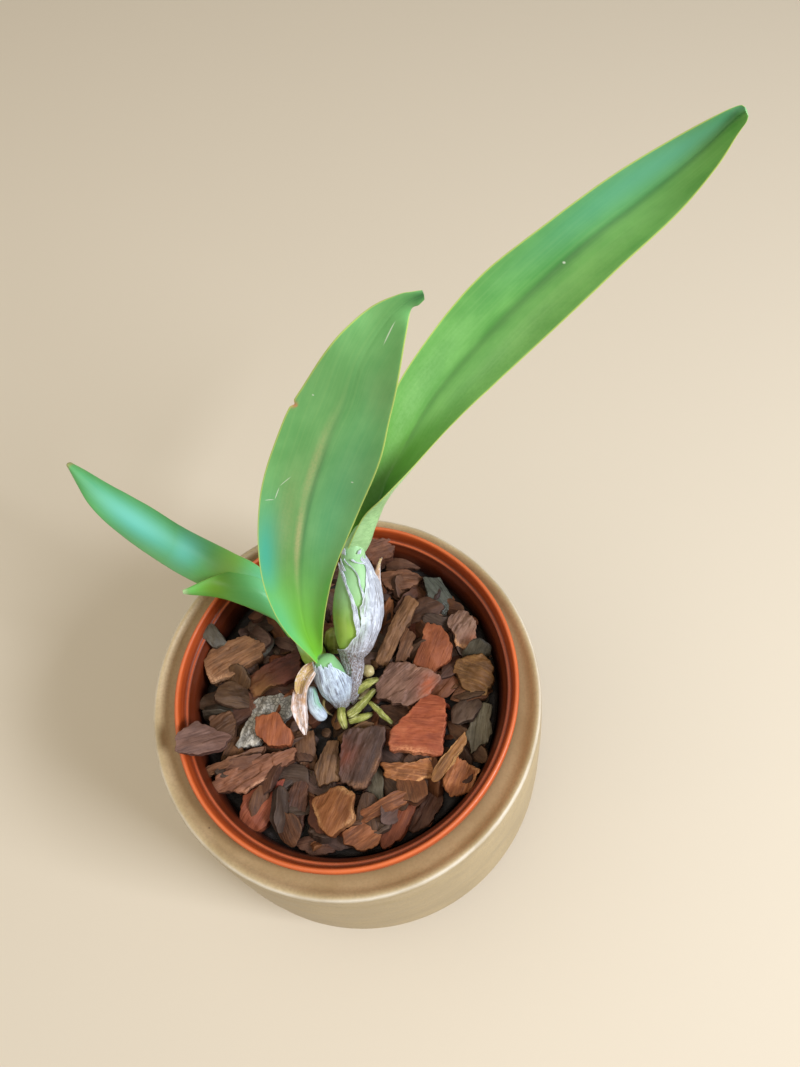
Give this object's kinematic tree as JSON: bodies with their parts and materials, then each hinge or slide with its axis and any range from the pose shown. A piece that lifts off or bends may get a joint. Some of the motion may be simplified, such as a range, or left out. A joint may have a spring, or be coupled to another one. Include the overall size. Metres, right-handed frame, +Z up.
{
  "type": "potted cattleya orchid",
  "caption": "Young cattleya orchid: strap leaves on short pseudobulbs, rooted in bark chips in a plastic nursery pot that stands in a round stoneware cover pot. Rests on its flat foot.",
  "frame": {"origin": "middle of the cover pot's flat underside", "axes": "+Z up, away from the surface that the pot stands on; +X to the right and +Y to the back as the plant is seen from its front, with the longest leaf leaning to +X and +Y"},
  "size_m": [0.2091, 0.1667, 0.2531],
  "materials": {
    "stoneware": "satin matte glaze in warm sand grey with small iron specks",
    "nursery_plastic": "thin moulded terracotta-coloured plastic, slight sheen",
    "leaf": "thick waxy leaf blade, satin gloss, paler margin",
    "bulb": "smooth green bulb skin, slight gloss",
    "husk": "dry silvery papery sheath with fine veins",
    "dry_husk": "dry tan papery sheath",
    "root": "matte yellow-green root skin",
    "bark_terracotta": "pine bark, rusty inner face",
    "bark_mauve": "pine bark, mauve-grey outer face",
    "bark_brown": "pine bark, dark brown",
    "bark_ochre": "pine bark, ochre broken face",
    "bark_grey": "pine bark, grey weathered face",
    "bark_dark": "packed bark in shade"
  },
  "bodies": {
    "root": {"cover_pot": "stoneware", "nursery_pot": "nursery_plastic", "bark_bed": "bark_dark", "rhizome": "root", "pseudobulb_back": "bulb", "pseudobulb_front": "bulb", "pseudobulb_left": "bulb", "pseudobulb_old": "bulb", "new_bud": "bulb", "leaf_long": "leaf", "leaf_centre": "leaf", "leaf_left": "leaf", "leaf_left_bract": "leaf", "husk_back": "husk", "husk_front": "husk", "husk_stub": "husk", "husk_curl": "dry_husk", "husk_spike": "dry_husk", "root_front": "root", "root_right": "root", "root_bud_side": "root", "root_branch": "root", "root_low": "root", "bark_rim": "bark_mauve", "bark_under_rim": "bark_brown", "bark_back_wall": "bark_brown", "bark_front": "bark_terracotta", "bark_round": "bark_terracotta", "bark_brick": "bark_terracotta", "bark_splinter": "bark_ochre", "bark_slab": "bark_mauve", "bark_stick_back": "bark_brown", "bark_stick_left": "bark_brown", "bark_layered": "bark_mauve", "bark_block": "bark_brown", "bark_wedge": "bark_terracotta", "bark_ragged": "bark_ochre", "bark_red": "bark_terracotta", "bark_long": "bark_brown", "bark_ochre_right": "bark_ochre", "bark_pink": "bark_mauve", "bark_nugget": "bark_ochre", "bark_lichen": "bark_grey", "bark_crumbly": "bark_ochre", "bark_under_layered": "bark_brown", "bark_small_brown": "bark_brown", "bark_low_left": "bark_terracotta", "bark_wet": "bark_grey", "bark_flat_back": "bark_brown", "bark_plain_front": "bark_ochre", "bark_upright": "bark_brown", "bark_orange_front": "bark_terracotta", "bark_grey_right": "bark_grey", "bark_olive": "bark_grey", "bark_dark_front": "bark_brown", "bark_beside_bulb": "bark_terracotta", "bark_far_back": "bark_brown", "bark_dark_stick": "bark_brown", "bark_dark_left": "bark_mauve", "bark_front_edge": "bark_brown"}
  },
  "joints": []
}
